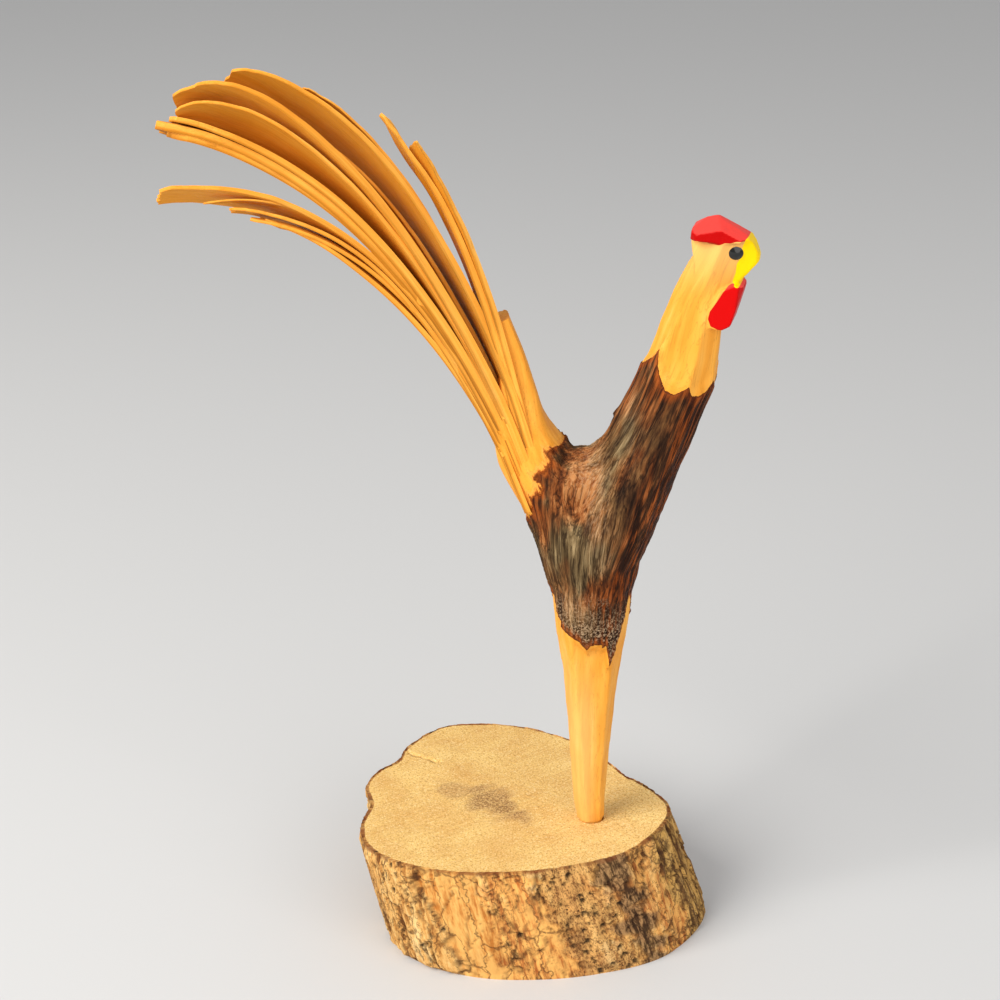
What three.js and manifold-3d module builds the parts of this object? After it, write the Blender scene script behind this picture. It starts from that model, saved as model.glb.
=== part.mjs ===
// Whittled rooster on a slice of log.
// Millimetres, +Z up. The rooster looks along +X. The origin is the middle of the
// underside of the log slice, so the carving stands on the plane z = 0.

import * as THREE from 'three';
import * as BufferGeometryUtils from 'three/addons/utils/BufferGeometryUtils.js';
import Module from 'manifold-3d';

const wasm = await Module();
wasm.setup();

// Driving dimensions of the log slice

const sliceHeight = 32;
// the log was sawn aslant, so its top lies beside its underside
const sliceLean = { x: -9.5, y: -1.5 };
const sliceSides = 88;
// the bark's furrows drift round the log on their way up
const furrows = { deep: 0.45, count: 13, drift: 0.6 };
const fineFurrows = { deep: 0.3, count: 29 };
const footSpread = 2.4;
// the lowest edge is worn round; the wear fades quickly with height
const footWear = { deep: 1.1, fading: 8 };
// rim of the sawn top, seen from above, around its own middle
const sliceRim = [
  [42.6, -4], [42.4, 6], [35, 15], [27, 20.5], [17, 30.5], [6, 37.4], [-7, 41], [-20, 40.3],
  [-30, 36.4], [-35, 29.5], [-38.3, 19.5], [-38.4, 12.6], [-42, 5.6], [-42.8, -4], [-38.4, -13],
  [-38, -23], [-33.5, -33.4], [-25, -39], [-10, -41.3], [5, -38.5], [20, -32.2], [35, -21],
];

// Driving dimensions of the leg and its hole

const legX = 13;
const legY = -6.5;
const tenonRadius = 3.2;
const tenonLength = 17.4;
const tenonSides = 16;
const holeRadius = 3.5;
const holeDepth = 18;
const holeSides = 24;
const jointGap = 0.3;

// Driving dimensions of the forked branch. Each station is the middle of a section, the
// radius under bark, and how far out the ridges lie at which the knife's flats meet.

const ringsPerStation = 2;
const legToNeck = [
  { x: 12.8, z: sliceHeight + jointGap, bark: 5, ridge: 3.75 },
  { x: 12.3, z: 40.4, bark: 6, ridge: 4.5 },
  { x: 12.2, z: 50, bark: 6.9, ridge: 5.15 },
  { x: 12.2, z: 59, bark: 7.7, ridge: 5.85 },
  { x: 12.1, z: 68, bark: 8.5, ridge: 6.6 },
  { x: 12.2, z: 77, bark: 9.2, ridge: 7.5 },
  { x: 12.1, z: 86, bark: 9.7, ridge: 8.9 },
  { x: 12.1, z: 94, bark: 10.2, ridge: 10 },
  { x: 11.9, z: 100, bark: 10.6, ridge: 10.5 },
  { x: 12.1, z: 106, bark: 11.4, ridge: 11.3 },
  { x: 12.8, z: 113, bark: 12.1, ridge: 12 },
  { x: 15.2, z: 120, bark: 12.3, ridge: 12 },
  { x: 18.1, z: 127, bark: 11.8, ridge: 11.7 },
  { x: 21.4, z: 134.5, bark: 11.1, ridge: 11 },
  { x: 24.7, z: 142, bark: 10.4, ridge: 10.4 },
  { x: 27.4, z: 148.5, bark: 10, ridge: 10 },
  { x: 31, z: 157.5, bark: 9.6, ridge: 9.7 },
  { x: 33.9, z: 165.5, bark: 9.7, ridge: 8.9 },
  { x: 35.8, z: 174.5, bark: 9.4, ridge: 7.9 },
  { x: 37.5, z: 182, bark: 8, ridge: 6.8 },
  { x: 39.7, z: 188, bark: 7, ridge: 6.2 },
  { x: 41.6, z: 192.5, bark: 6, ridge: 5.5 },
];
// Where the knife bared the leg and the neck: the stretch's lower and upper end, and each
// ridge's direction at both ends, in degrees from -X towards the viewer's side, -Y.
const legBare = {
  from: 32,
  to: 90,
  ridges: [[16, 20], [60, 55], [90, 66], [146, 143], [190, 192], [236, 238], [280, 284], [326, 322]],
};
const neckBare = {
  from: 162,
  to: 190,
  ridges: [[4, 2], [40, 76], [117, 120], [165, 163], [197, 199], [243, 240], [320, 284]],
};
// how steeply the knife's flats run out of the wood into the bark
const knifeExit = 0.4;
// the right fork is flatter from side to side than the trunk, which it leaves gradually
const neckDepth = { least: 0.9, from: 106, to: 146 };
const trunkSides = 32;

// the saddle of bark and wood in the crotch of the fork
const saddle = [
  { x: -3.6, z: 138.6, bark: 6.6 },
  { x: 1.4, z: 132.4, bark: 8.2 },
  { x: 8, z: 131.2, bark: 9 },
  { x: 15.6, z: 133.8, bark: 8.4 },
  { x: 22.6, z: 143, bark: 7.6 },
];
const saddleSides = 16;

// Driving dimensions of the tail. The tail's plane stands upright at the stem and is
// turned a little towards the viewer's side; reach is measured in it, away from the neck.

const tailX = -7;
const tailTurn = THREE.MathUtils.degToRad(18);
const stemSides = 20;
// the bare stem below the feathers, and the stub that is left of it on the neck's side
const stem = [
  { x: 12, y: legY, z: 98, wide: 9, deep: 9 },
  { x: 10.6, y: legY, z: 108, wide: 11.3, deep: 11 },
  { x: 8, y: legY, z: 116.5, wide: 11.3, deep: 11 },
  { x: 3.8, y: legY, z: 124.8, wide: 10.5, deep: 10 },
  { x: -0.9, y: legY, z: 132.4, wide: 9.7, deep: 9 },
  { x: -5.2, y: -6.7, z: 139.5, wide: 8.8, deep: 8 },
  { x: -7.4, y: -7, z: 146, wide: 7.4, deep: 7 },
  { x: -8.3, y: -7.4, z: 154.4, wide: 5.6, deep: 6 },
  { x: -9.6, y: -7.9, z: 163, wide: 3.7, deep: 5.4 },
  { x: -11.4, y: -8.6, z: 169.6, wide: 3, deep: 5.2 },
  { x: -12.9, y: -9, z: 174.8, wide: 2.6, deep: 5 },
];

// Every feather is one shaving, still joined to the stem. Path is the curve of its near
// upper edge, as the reach and height of its root, its elbow and its tip. Thick is at the
// root and at the tip, and roll is how far its underside turns to the viewer's side at the
// tip, in degrees. Back sets its near edge back from the tail's near face, skew is how much
// its tip is cut aslant, and curl is how far its tip bends down.
const nearFace = 6;
const feathers = [
  { path: [[0, 153], [13.9, 208.2], [26.2, 219]], wide: 6, thick: [1.9, 0.8], roll: 50, curl: -1.6 },
  { path: [[1.5, 151], [13.4, 206.4], [32.9, 223.2]], wide: 6, thick: [2.2, 1], roll: 20, curl: -3 },
  { path: [[-1.3, 147.4], [28, 235.2], [67.9, 239.2]], wide: 16, thick: [2.4, 0.9], roll: 50, skew: 4 },
  { path: [[-0.3, 146.5], [24.6, 223], [52, 233.2]], wide: 5, thick: [1.6, 0.4], roll: 48 },
  { path: [[1.5, 146.5], [26, 208.6], [56, 225.6]], wide: 9, thick: [1.4, 0.5], roll: 50, back: 5 },
  { path: [[-0.6, 142], [40.8, 239.2], [83.3, 238]], wide: 16, thick: [2.8, 0.9], roll: 52, curl: 4.2 },
  { path: [[0.7, 141], [39, 231.4], [83.1, 233.6]], wide: 15, thick: [1.6, 0.8], roll: 50, curl: 3.6 },
  { path: [[1.1, 139.5], [32.8, 215], [83.6, 228.4]], wide: 14, thick: [2.8, 1], roll: 26, curl: 0.8 },
  { path: [[1, 137.8], [33.4, 214], [86.4, 227.2]], wide: 12, thick: [2, 0.8], roll: 18, curl: 1.2 },
  { path: [[0.8, 137], [34.5, 213.8], [84.3, 224.9]], wide: 11, thick: [2.2, 0.9], roll: 12, curl: 1 },
  { path: [[1.2, 134.6], [35.1, 218], [87.1, 209.8]], wide: 9, thick: [1.8, 1], roll: 44, skew: 3 },
  { path: [[1.9, 132.6], [32.4, 207.4], [70.8, 203.4]], wide: 7, thick: [1.5, 0.7], roll: 24, curl: -1.6 },
  { path: [[-1.4, 127], [24.6, 195.2], [65.3, 202.6]], wide: 6, thick: [1.5, 0.7], roll: 14 },
  { path: [[-2.6, 125], [22.9, 186.8], [62.6, 203.1]], wide: 7, thick: [1.9, 0.8], roll: 12, curl: 1.4 },
];
const featherSteps = 16;
// a feather rolls over sooner than evenly on its way to the tip
const featherRollPower = 0.65;
// the last part of a feather narrows by a share of its width, and curls
const featherTaper = { from: 0.8, share: 0.35 };
const featherCurlFrom = 0.75;

// Driving dimensions of the head. Each block is an outline in the plane y = legY, sawn out
// half to each side of it. A stroke of the knife then takes off what lies outside a plane,
// on both sides alike: a point and a heading, with y as the distance from the middle.

const headBlocks = {
  face: {
    half: 5.6,
    outline: [
      [37.4, 184], [36.4, 194], [36.2, 198.4], [49.3, 198.6], [50.4, 197.2], [51.9, 194.3],
      [51.8, 192.6], [49.6, 190], [46.8, 187], [43, 184],
    ],
    strokes: [
      { point: [41, 5.4, 191.6], outward: [-0.36, 0.93, 0.16] },
      { point: [42.5, 5.25, 192.6], outward: [0.34, 0.93, -0.12] },
      { point: [51.7, 1.5, 193.5], outward: [0.87, 0.5, 0] },
    ],
  },
  comb: {
    half: 5.7,
    outline: [
      [35.2, 197.5], [35.5, 200.4], [38.4, 202.4], [41.3, 203.2], [49, 199], [49.5, 198],
      [43, 197.4],
    ],
    strokes: [
      { point: [42, 0.4, 202.95], outward: [0.412, 0.305, 0.858] },
      { point: [41.3, 0.4, 203.2], outward: [-0.2, 0.47, 0.86] },
      { point: [36.6, 5.6, 199], outward: [-0.8, 0.6, 0] },
    ],
  },
  wattle: {
    half: 5.4,
    outline: [
      [46.6, 187.3], [48.7, 186.3], [46, 176.9], [43.9, 175.7], [40.4, 176.2], [39.6, 179],
      [43, 185.5],
    ],
    strokes: [{ point: [47.6, 4.9, 184], outward: [0.92, 0.38, -0.1] }],
  },
};

// Finishes, close to the photograph

const bareWood = new THREE.MeshStandardMaterial({ color: 0xe0a75a, roughness: 0.55, metalness: 0 });
const sawnLog = new THREE.MeshStandardMaterial({ color: 0xdcae6c, roughness: 0.85, metalness: 0 });

// Solids

function toSolid(geometry) {
  const bare = geometry.clone();
  bare.deleteAttribute('normal');
  bare.deleteAttribute('uv');
  const merged = BufferGeometryUtils.mergeVertices(bare, 1e-4);
  return new wasm.Manifold(new wasm.Mesh({
    numProp: 3,
    vertProperties: new Float32Array(merged.attributes.position.array),
    triVerts: new Uint32Array(merged.index.array),
  }));
}

function toMesh(name, solid, material) {
  const result = solid.getMesh();
  const geometry = new THREE.BufferGeometry();
  geometry.setAttribute('position', new THREE.BufferAttribute(result.vertProperties, 3));
  geometry.setIndex(new THREE.BufferAttribute(result.triVerts, 1));
  geometry.computeVertexNormals();
  const mesh = new THREE.Mesh(geometry, material);
  mesh.name = name;
  return mesh;
}

// Moves every vertex of a geometry to the place that a function gives it.
function reshape(geometry, place) {
  const position = geometry.attributes.position;
  const vertex = new THREE.Vector3();
  for (let i = 0; i < position.count; i += 1) {
    vertex.fromBufferAttribute(position, i);
    const moved = place(vertex);
    position.setXYZ(i, moved.x, moved.y, moved.z);
  }
  return geometry;
}

// Branches: a cylinder is laid along a smooth path through the stations, and a function
// gives the distance from the path to the surface at each angle.

function branch(points, sides, distance) {
  const path = new THREE.CatmullRomCurve3(points, false, 'centripetal');
  const rings = (points.length - 1) * ringsPerStation;
  const geometry = new THREE.CylinderGeometry(1, 1, 1, sides, rings);
  const along = new THREE.Vector3();
  const out = new THREE.Vector3();
  const near = new THREE.Vector3();
  return reshape(geometry, (vertex) => {
    const share = THREE.MathUtils.clamp(vertex.y + 0.5, 0, 1);
    const centre = path.getPoint(share);
    along.copy(path.getTangent(share));
    near.set(0, -1, 0).addScaledVector(along, along.y).normalize();
    out.crossVectors(near, along);
    const radial = Math.hypot(vertex.x, vertex.z);
    const angle = Math.atan2(-vertex.z, vertex.x);
    const reach = radial * distance(share, angle);
    centre.addScaledVector(out, reach * Math.cos(angle));
    return centre.addScaledVector(near, reach * Math.sin(angle));
  });
}

// Value of one field of the stations at a share of the path, on a smooth curve.
function fieldCurve(stations, field) {
  const values = stations.map((station, i) => new THREE.Vector3(i, station[field], 0));
  const curve = new THREE.CatmullRomCurve3(values, false, 'centripetal');
  return (share) => curve.getPoint(share).y;
}

// Distance, at an angle, to the straight flat between two of a bared stretch's ridges.
function flatDistance(bare, height, angle, reach) {
  const fullTurn = 2 * Math.PI;
  const climb = THREE.MathUtils.clamp((height - bare.from) / (bare.to - bare.from), 0, 1);
  const ridges = bare.ridges.map(([low, high]) => THREE.MathUtils.degToRad(
    THREE.MathUtils.lerp(low, high, climb),
  ));
  const turned = ridges[0] + THREE.MathUtils.euclideanModulo(angle - ridges[0], fullTurn);
  const passed = ridges.filter((ridge) => ridge <= turned).length;
  const before = ridges[passed - 1];
  const after = passed < ridges.length ? ridges[passed] : ridges[0] + fullTurn;
  return reach * Math.sin(after - before) / (Math.sin(turned - before) + Math.sin(after - turned));
}

// The branch from leg to neck: the surface is the bark or the knife's flats, whichever lie
// deeper, so the bark ends in scallops between the ridges.
function whittledBranch() {
  const points = legToNeck.map((station) => new THREE.Vector3(station.x, legY, station.z));
  const barkAt = fieldCurve(legToNeck, 'bark');
  const ridgeAt = fieldCurve(legToNeck, 'ridge');
  const heightAt = fieldCurve(legToNeck, 'z');
  return branch(points, trunkSides, (share, angle) => {
    const height = heightAt(share);
    const ridge = ridgeAt(share);
    const aboveLeg = knifeExit * Math.max(0, height - legBare.to);
    const belowNeck = knifeExit * Math.max(0, neckBare.from - height);
    const slimming = (1 - neckDepth.least)
      * THREE.MathUtils.smoothstep(height, neckDepth.from, neckDepth.to);
    const nearest = Math.min(
      barkAt(share),
      flatDistance(legBare, height, angle, ridge) + aboveLeg,
      flatDistance(neckBare, height, angle, ridge) + belowNeck,
    );
    return nearest * (1 - slimming * Math.abs(Math.sin(angle)));
  });
}

function crotchSaddle() {
  const points = saddle.map((station) => new THREE.Vector3(station.x, legY, station.z));
  return branch(points, saddleSides, fieldCurve(saddle, 'bark'));
}

// The tail's frame: away is level and points along the tail, side is level and points to
// the viewer's side.

const away = new THREE.Vector3(-Math.cos(tailTurn), -Math.sin(tailTurn), 0);
const side = new THREE.Vector3(Math.sin(tailTurn), -Math.cos(tailTurn), 0);
const up = new THREE.Vector3(0, 0, 1);

function inTail(reach, height, sideways) {
  return new THREE.Vector3(tailX, legY, 0)
    .addScaledVector(away, reach)
    .addScaledVector(up, height)
    .addScaledVector(side, sideways);
}

function tailStem() {
  const points = stem.map((station) => new THREE.Vector3(station.x, station.y, station.z));
  const wideAt = fieldCurve(stem, 'wide');
  const deepAt = fieldCurve(stem, 'deep');
  return branch(points, stemSides, (share, angle) => 1 / Math.hypot(
    Math.cos(angle) / wideAt(share),
    Math.sin(angle) / deepAt(share),
  ));
}

// A shaving: a thin strip bent along its curve and rolled more and more towards its tip.
function featherStrip(feather) {
  const back = feather.back ?? 0;
  const skew = feather.skew ?? 0;
  const curl = feather.curl ?? 0;
  const corners = feather.path.map(([reach, height]) => inTail(reach, height, nearFace - back));
  const curve = new THREE.QuadraticBezierCurve3(...corners);
  const strip = new THREE.BoxGeometry(1, 1, 1, featherSteps, 1, 1);
  const convex = new THREE.Vector3();
  const across = new THREE.Vector3();
  const face = new THREE.Vector3();
  return reshape(strip, (vertex) => {
    const share = vertex.x + 0.5;
    const place = curve.getPoint(share);
    convex.crossVectors(side, curve.getTangent(share)).normalize().negate();
    if (convex.z < 0) convex.negate();
    const roll = THREE.MathUtils.degToRad(feather.roll) * share ** featherRollPower;
    across.copy(side).multiplyScalar(Math.cos(roll)).addScaledVector(convex, Math.sin(roll));
    face.copy(convex).multiplyScalar(Math.cos(roll)).addScaledVector(side, -Math.sin(roll));
    const tipness = THREE.MathUtils.smoothstep(share, featherTaper.from, 1);
    const width = feather.wide * (1 - featherTaper.share * tipness);
    const thickness = THREE.MathUtils.lerp(feather.thick[0], feather.thick[1], share);
    place.addScaledVector(curve.getTangent(share), skew * tipness * (0.5 - vertex.y));
    place.addScaledVector(across, -width * (0.5 - vertex.y));
    place.z -= curl * Math.max(0, (share - featherCurlFrom) / (1 - featherCurlFrom)) ** 2;
    return place.addScaledVector(face, -thickness * (0.5 - vertex.z));
  });
}

// Head: outlines sawn across the branch and then cut back by strokes of the knife.

// What one stroke takes off: everything beyond a point, outwards.
function cutOff(point, outward) {
  const size = 60;
  const waste = new THREE.BoxGeometry(size, size, size);
  waste.translate(0, 0, size / 2);
  const upright = new THREE.Vector3(0, 0, 1);
  const heading = new THREE.Vector3(...outward).normalize();
  waste.applyQuaternion(new THREE.Quaternion().setFromUnitVectors(upright, heading));
  return toSolid(waste.translate(...point));
}

function headBlock({ half, outline, strokes }) {
  const profile = new THREE.Shape(outline.map(([x, z]) => new THREE.Vector2(x, z)));
  const slab = new THREE.ExtrudeGeometry(profile, { depth: 2 * half, bevelEnabled: false });
  slab.rotateX(Math.PI / 2);
  slab.translate(0, legY + half, 0);
  let solid = toSolid(slab);
  for (const { point: [x, y, z], outward: [ahead, sideways, upward] } of strokes) {
    for (const hand of [-1, 1]) {
      solid = solid.subtract(cutOff([x, legY + hand * y, z], [ahead, hand * sideways, upward]));
    }
  }
  return solid;
}

// The shavings lie so close at their roots that they shut in small pockets. The outer skin
// is the largest of a solid's closed surfaces, with such pockets filled.
function outerSkin(solid) {
  const surfaces = solid.decompose();
  return surfaces.reduce((largest, other) => (other.volume() > largest.volume() ? other : largest));
}

// A round peg at the leg's place, that reaches from a little above the sawn top down to
// the given depth below it.
function peg(radius, depth, sides) {
  const above = 1;
  const round = new THREE.CylinderGeometry(radius, radius, depth + above, sides);
  round.rotateX(Math.PI / 2);
  return round.translate(legX, legY, sliceHeight + (above - depth) / 2);
}

function rooster() {
  let solid = toSolid(whittledBranch());
  solid = solid.add(toSolid(crotchSaddle()));
  solid = solid.add(toSolid(tailStem()));
  for (const block of Object.values(headBlocks)) solid = solid.add(headBlock(block));
  for (const feather of feathers) solid = solid.add(toSolid(featherStrip(feather)));
  return outerSkin(solid.add(toSolid(peg(tenonRadius, tenonLength, tenonSides))));
}

// Log slice: the rim's closed curve carried down the leaning side, furrowed by its bark.

function logSlice() {
  const rim = new THREE.CatmullRomCurve3(
    sliceRim.map(([x, y]) => new THREE.Vector3(x, y, 0)),
    true,
    'centripetal',
  );
  const slab = new THREE.CylinderGeometry(1, 1, 1, sliceSides, 5);
  const middle = new THREE.Vector3();
  reshape(slab, (vertex) => {
    const height = vertex.y + 0.5;
    const turn = (Math.atan2(-vertex.z, vertex.x) / (2 * Math.PI) + 1) % 1;
    const edge = rim.getPoint(turn);
    const wave = furrows.deep * Math.sin(2 * Math.PI * (furrows.count * turn + furrows.drift * height))
      + fineFurrows.deep * Math.sin(2 * Math.PI * fineFurrows.count * turn);
    const foot = footSpread * (1 - height) - footWear.deep * (1 - height) ** footWear.fading;
    const bulge = wave * Math.sin(Math.PI * height) + foot;
    edge.multiplyScalar((1 + bulge / edge.length()) * Math.hypot(vertex.x, vertex.z));
    middle.set(sliceLean.x, sliceLean.y, 0).multiplyScalar(height);
    return edge.add(middle).setZ(sliceHeight * height);
  });
  return toSolid(slab).subtract(toSolid(peg(holeRadius, holeDepth, holeSides)));
}

const carving = new THREE.Group();
carving.add(toMesh('log_slice', logSlice(), sawnLog));
carving.add(toMesh('rooster', rooster(), bareWood));

export default carving;
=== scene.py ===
from math import cos, pi, radians, sin

import bpy
import numpy as np
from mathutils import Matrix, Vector, noise


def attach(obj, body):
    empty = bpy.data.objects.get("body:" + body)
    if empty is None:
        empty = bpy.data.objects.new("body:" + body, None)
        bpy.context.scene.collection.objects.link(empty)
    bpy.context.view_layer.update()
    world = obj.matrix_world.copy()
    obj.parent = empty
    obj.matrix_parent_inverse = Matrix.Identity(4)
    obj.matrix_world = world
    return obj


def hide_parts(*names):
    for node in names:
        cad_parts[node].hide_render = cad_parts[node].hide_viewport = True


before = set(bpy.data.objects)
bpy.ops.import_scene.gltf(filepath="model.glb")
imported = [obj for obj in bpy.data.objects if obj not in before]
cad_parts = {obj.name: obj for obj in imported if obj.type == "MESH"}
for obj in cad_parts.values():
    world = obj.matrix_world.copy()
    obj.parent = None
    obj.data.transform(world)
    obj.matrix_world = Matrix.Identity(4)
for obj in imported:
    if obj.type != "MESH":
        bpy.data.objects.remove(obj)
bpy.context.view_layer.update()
bpy.ops.object.select_all(action="DESELECT")


# The log slice: a billet sawn aslant from a thin log with its bark left on. Its top is a
# rough pale saw cut with a grey-brown stain at the pith, and a blind hole takes the leg.

MM = 0.001
slice_height = 32.0
slice_lean = np.array([-9.5, -1.5])
slice_rim = [
    (42.6, -4), (42.4, 6), (35, 15), (27, 20.5), (17, 30.5), (6, 37.4), (-7, 41), (-20, 40.3),
    (-30, 36.4), (-35, 29.5), (-38.3, 19.5), (-38.4, 12.6), (-42, 5.6), (-42.8, -4), (-38.4, -13),
    (-38, -23), (-33.5, -33.4), (-25, -39), (-10, -41.3), (5, -38.5), (20, -32.2), (35, -21),
]
foot_spread = 2.4
foot_wear = 1.1
foot_wear_fading = 8
leg_x, leg_y = 13.0, -6.5
hole_radius = 3.5
hole_depth = 18.0
# rows of the slice's skin: in under the foot, up the bark, over the top and down the hole
foot_rows, bark_rows, top_rows, hole_rows = 14, 72, 66, 6
slice_columns = 540
girth_radius = 43.0
# where the bark is of each kind: how softly that ends, and from where to where it lies, in
# shares of the way round, seen from above, from +X
bark_kinds = {
    "torn to a deeper layer": (0.004, (0.615, 0.803)),
    "smooth": (0.004, (0.806, 0.846), (0.870, 0.889), (0.30, 0.36)),
    "pitted": (0.008, (0.895, 0.930)),
    "black band": (0.006, (0.935, 0.957)),
    "ridged": (0.004, (0.981, 1.2), (-0.2, 0.14)),
    "plated": (0.004, (0.957, 0.985)),
    "flaky": (0.004, (0.846, 0.889)),
}
crack_line = np.array([
    (-45.6, 16.2), (-44.1, 15.6), (-42.6, 15.5), (-41, 14.5), (-39.4, 14.2), (-38.2, 13.2),
    (-36.2, 13.5),
])
# the stain round the pith has two lobes: middle, half length, half width, strength
stains = [((-28.4, -1.6), 6.4, 4.6, 0.6), ((-13.2, -6.0), 9.6, 6.8, 1.0)]
stain_axes = np.array([(0.93, -0.36), (0.36, 0.93)])
pith = (-19.5, -9.5)
saw_angle, saw_axes = radians(48.9), np.array([(0.754, -0.657), (0.657, 0.754)])
rim_crowding = 1.35
well_inside = 9.0


def smooth_curve(points, shares, closed=False):
    """Places on the centripetal Catmull-Rom curve through points, at shares of its length."""
    points = np.asarray(points, float)
    start, end = 2 * points[:1] - points[1:2], 2 * points[-1:] - points[-2:-1]
    if closed:
        start, end = points[-1:], points[:2]
    longer = np.vstack([start, points, end])
    spans = len(longer) - 3
    place = np.clip(np.asarray(shares, float), 0, 1) * spans
    first = np.minimum(place.astype(int), spans - 1)
    part = (place - first)[:, None]
    a, b, c, d = (longer[first + step] for step in range(4))
    before, within, after = (
        np.maximum(np.linalg.norm(q - p, axis=1, keepdims=True), 1e-9) ** 0.5
        for p, q in ((a, b), (b, c), (c, d))
    )
    leave = ((b - a) / before - (c - a) / (before + within) + (c - b) / within) * within
    arrive = ((c - b) / within - (d - b) / (within + after) + (d - c) / after) * within
    bend = 3 * (c - b) - 2 * leave - arrive
    turn = 2 * (b - c) + leave + arrive
    return b + leave * part + bend * part**2 + turn * part**3


def ease(value, low, high):
    """0 below low, 1 above high, and a smooth step between."""
    share = np.clip((np.asarray(value, float) - low) / (high - low), 0, 1)
    return share * share * (3 - 2 * share)


def unit(vectors):
    return vectors / np.maximum(np.linalg.norm(vectors, axis=-1, keepdims=True), 1e-9)


def grains(places, octaves=3, lacunarity=2.1):
    """Fractal noise of about -1 to 1 at places whose unit is the widest grain."""
    return 2.2 * np.array([noise.fractal(Vector(p), 0.9, lacunarity, octaves) for p in places])


def plates(places):
    """For each place, how far it is from its plate's edge, and a number for the whole plate."""
    edge, number = [], []
    for place in places:
        distance, centres = noise.voronoi(Vector(place))
        edge.append(distance[1] - distance[0])
        number.append(noise.cell(centres[0] * 37.0))
    return np.array(edge), np.abs(np.array(number)) % 1


def named(name):
    """The piece just made, under its name."""
    bpy.context.object.name = name
    return bpy.context.object


def tube(name, sides, rows):
    """A cylinder in even rows: the object, each corner's turn round it and its row."""
    bpy.ops.mesh.primitive_cylinder_add(vertices=sides, radius=1, depth=1, end_fill_type="NGON")
    piece = named(name)
    mesh = piece.data
    ends = np.array([edge.vertices[:] for edge in mesh.edges])
    z = np.array([corner.co.z for corner in mesh.vertices])
    upright = np.abs(z[ends[:, 0]] - z[ends[:, 1]]) > 0.5
    bpy.ops.object.mode_set(mode="EDIT")
    bpy.ops.mesh.select_mode(type="EDGE")
    bpy.ops.mesh.select_all(action="DESELECT")
    bpy.ops.object.mode_set(mode="OBJECT")
    mesh.edges.foreach_set("select", upright)
    bpy.ops.object.mode_set(mode="EDIT")
    bpy.ops.mesh.subdivide_edgering(number_cuts=rows - 1, interpolation="LINEAR")
    bpy.ops.object.mode_set(mode="OBJECT")
    corners = places_of(piece) * MM
    turn = (np.arctan2(corners[:, 1], corners[:, 0]) / (2 * pi)) % 1
    return piece, turn, np.rint((corners[:, 2] + 0.5) * rows).astype(int)


def places_of(piece):
    """A piece's corners, in millimetres."""
    places = np.empty(len(piece.data.vertices) * 3)
    piece.data.vertices.foreach_get("co", places)
    return places.reshape(-1, 3) / MM


def lay(piece, places):
    """Moves a piece's corners to places in millimetres."""
    piece.data.vertices.foreach_set("co", np.asarray(places, float).ravel() * MM)
    piece.data.update()


def note(piece, **notes):
    """Keeps numbers for each corner, which the finish reads by their names."""
    for name, values in notes.items():
        attribute = piece.data.attributes.new(name, "FLOAT", "POINT")
        attribute.data.foreach_set("value", np.asarray(values, float))


def from_line(places, line):
    """Distance of flat places from a line of joined points."""
    nearest = np.full(len(places), np.inf)
    for start, end in zip(line[:-1], line[1:]):
        run = end - start
        share = np.clip((places - start) @ run / (run @ run), 0, 1)
        nearest = np.minimum(nearest, np.linalg.norm(places - start - share[:, None] * run, axis=1))
    return nearest


top_start = foot_rows + bark_rows
hole_start = top_start + top_rows
log_slice, turn, row = tube("log_slice_sawn", slice_columns, hole_start + hole_rows)
on_foot = row < foot_rows
on_hole = row > hole_start
on_top = (row > top_start) & ~on_hole
on_bark = ~(on_foot | on_top | on_hole)
height = np.clip((row - foot_rows) / bark_rows, 0, 1)
rim = smooth_curve(slice_rim, turn, closed=True)
rim_radius = np.linalg.norm(rim, axis=1, keepdims=True)
foot = foot_spread * (1 - height) - foot_wear * (1 - height) ** foot_wear_fading

# bark relief, on places rolled up so that the pattern closes on itself
round_log = 2 * pi * turn
rolled = np.c_[
    girth_radius * np.cos(round_log), girth_radius * np.sin(round_log), slice_height * height
]


def bark_grains(wide, high, octaves=2):
    """Noise on the rolled-up bark, in grains so many millimetres wide and high."""
    return grains(rolled / (wide, wide, high), octaves)


wander = bark_grains(9, 9)
furrow = bark_grains(4.5, 34, 3)
fibre = bark_grains(1.1, 9)
jag = 0.006 * bark_grains(5, 4, 3) + 0.010 * (height - 0.5)
plate_edge, plate_number = plates((rolled + wander[:, None] * (1.6, 1.6, 5.0)) / (4.6, 4.6, 15))
flake_edge, flake_number = plates((rolled + 5 + wander[:, None] * (1.2, 1.2, 2.5)) / (3.4, 3.4, 9))
pit_edge, pit_number = plates(rolled / (1.3, 1.3, 1.6))
here = turn + jag
layered, smooth, pitted, band, ridged, plated, flaky = (
    sum(
        ease(here, start - soft, start + soft) * (1 - ease(here, end - soft, end + soft))
        for start, end in stretches
    )
    for soft, *stretches in bark_kinds.values()
)
rib = bark_grains(1.3, 24, 3)
groove = (1 - ease(np.abs(rib + 0.1 * wander), 0.02, 0.16)) * ease(bark_grains(6, 9), -0.5, 0.3)
groove *= 0.15 + 0.85 * np.maximum(ridged, np.maximum(0.7 * layered, 0.6 * band))
pit = ease(pit_number, 0.6, 0.64) * pitted * ease(pit_edge, 0.15, 0.4)
pit += ease(pit_number, 0.93, 0.95) * ease(pit_edge, 0.2, 0.4) * (1 - pitted) * (1 - smooth)
broken = (1 - 0.45 * smooth) * ease(bark_grains(13, 20), -0.9, 0.3)
crack = (1 - ease(plate_edge, 0.01, 0.06)) * broken * (1 - 0.6 * pitted)
fine_crack = (1 - ease(flake_edge, 0.015, 0.07)) * ease(bark_grains(12, 12), -0.1, 0.5)
fine_crack *= (1 - smooth) * (1 - 0.8 * pitted) * (1 - ridged)
fine_crack += 0.6 * flaky * (1 - ease(np.abs(flake_edge - 0.24 - 0.05 * wander), 0.01, 0.05))
layer_edge = 4 * layered * (1 - layered)


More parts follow.
